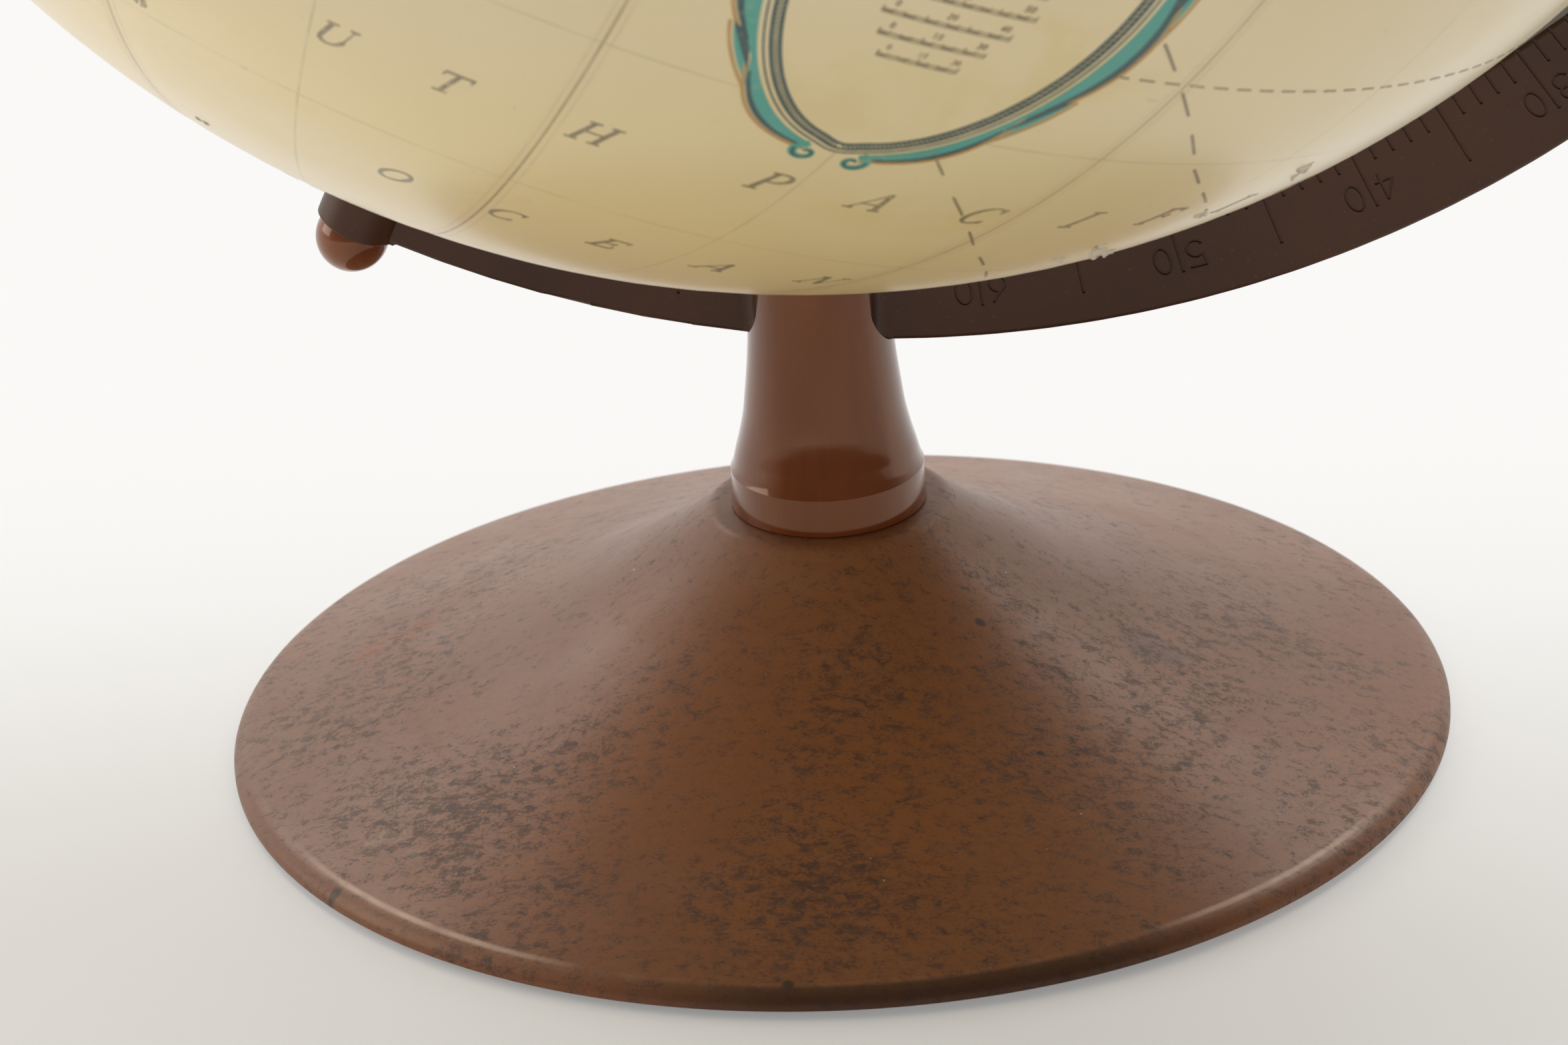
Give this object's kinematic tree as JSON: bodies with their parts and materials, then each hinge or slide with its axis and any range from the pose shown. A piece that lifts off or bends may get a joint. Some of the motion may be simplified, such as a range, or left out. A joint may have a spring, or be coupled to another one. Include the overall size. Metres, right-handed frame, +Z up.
{
  "type": "terrestrial desk globe",
  "caption": "Terrestrial globe turning on a tilted semi-meridian arm with an engraved degree scale, on a tapered neck and a round dished foot.",
  "frame": {"origin": "centre of the foot's underside, on the table", "axes": "+Z up; the arm lies in the XZ plane and the north pole leans to +X; a viewer facing the map's scale side looks along +Y"},
  "size_m": [0.3275, 0.3052, 0.398],
  "materials": {
    "dish_paint": "satin, antiqued and speckled",
    "trim_vinyl": "matt black vinyl",
    "zinc_steel": "zinc plated",
    "neck_plastic": "glossy",
    "insert_brass": "turned",
    "arm_plastic": "fine satin, engraved scale",
    "axle_steel": "bright drawn",
    "cap_plastic": "glossy",
    "nylon": "natural nylon",
    "shell_board": "pressed chipboard",
    "tape_paper": "varnished printed paper",
    "map_paper": "varnished printed paper",
    "grommet_brass": "eyeletted",
    "tube_board": "spiral-wound board"
  },
  "bodies": {
    "stand": {"base_dish": "dish_paint", "base_edge_trim": "trim_vinyl", "spreader_washer": "zinc_steel", "lock_washer": "zinc_steel", "tie_bolt": "zinc_steel", "neck": "neck_plastic", "hub_insert": "insert_brass", "meridian_arm": "arm_plastic", "axle_rod": "axle_steel", "south_cap": "cap_plastic", "north_cap": "cap_plastic", "south_thrust_washer": "nylon", "north_thrust_washer": "nylon", "north_spacer_bush": "nylon"},
    "globe": {"northern_shell": "shell_board", "southern_shell": "shell_board", "equator_joint_hoop": "shell_board", "equator_tape": "tape_paper", "north_map_gores": "map_paper", "south_map_gores": "map_paper", "north_calotte": "map_paper", "south_calotte": "map_paper", "north_grommet": "grommet_brass", "south_grommet": "grommet_brass", "north_grommet_retainer": "zinc_steel", "south_grommet_retainer": "zinc_steel", "axle_tube": "tube_board"}
  },
  "joints": [
    {"name": "globe_spin", "type": "hinge", "parent": "stand", "child": "globe", "pos_m": [0.0061, 0, 0.2334], "axis": [0.4242, 0, 0.9056], "continuous": true}
  ]
}
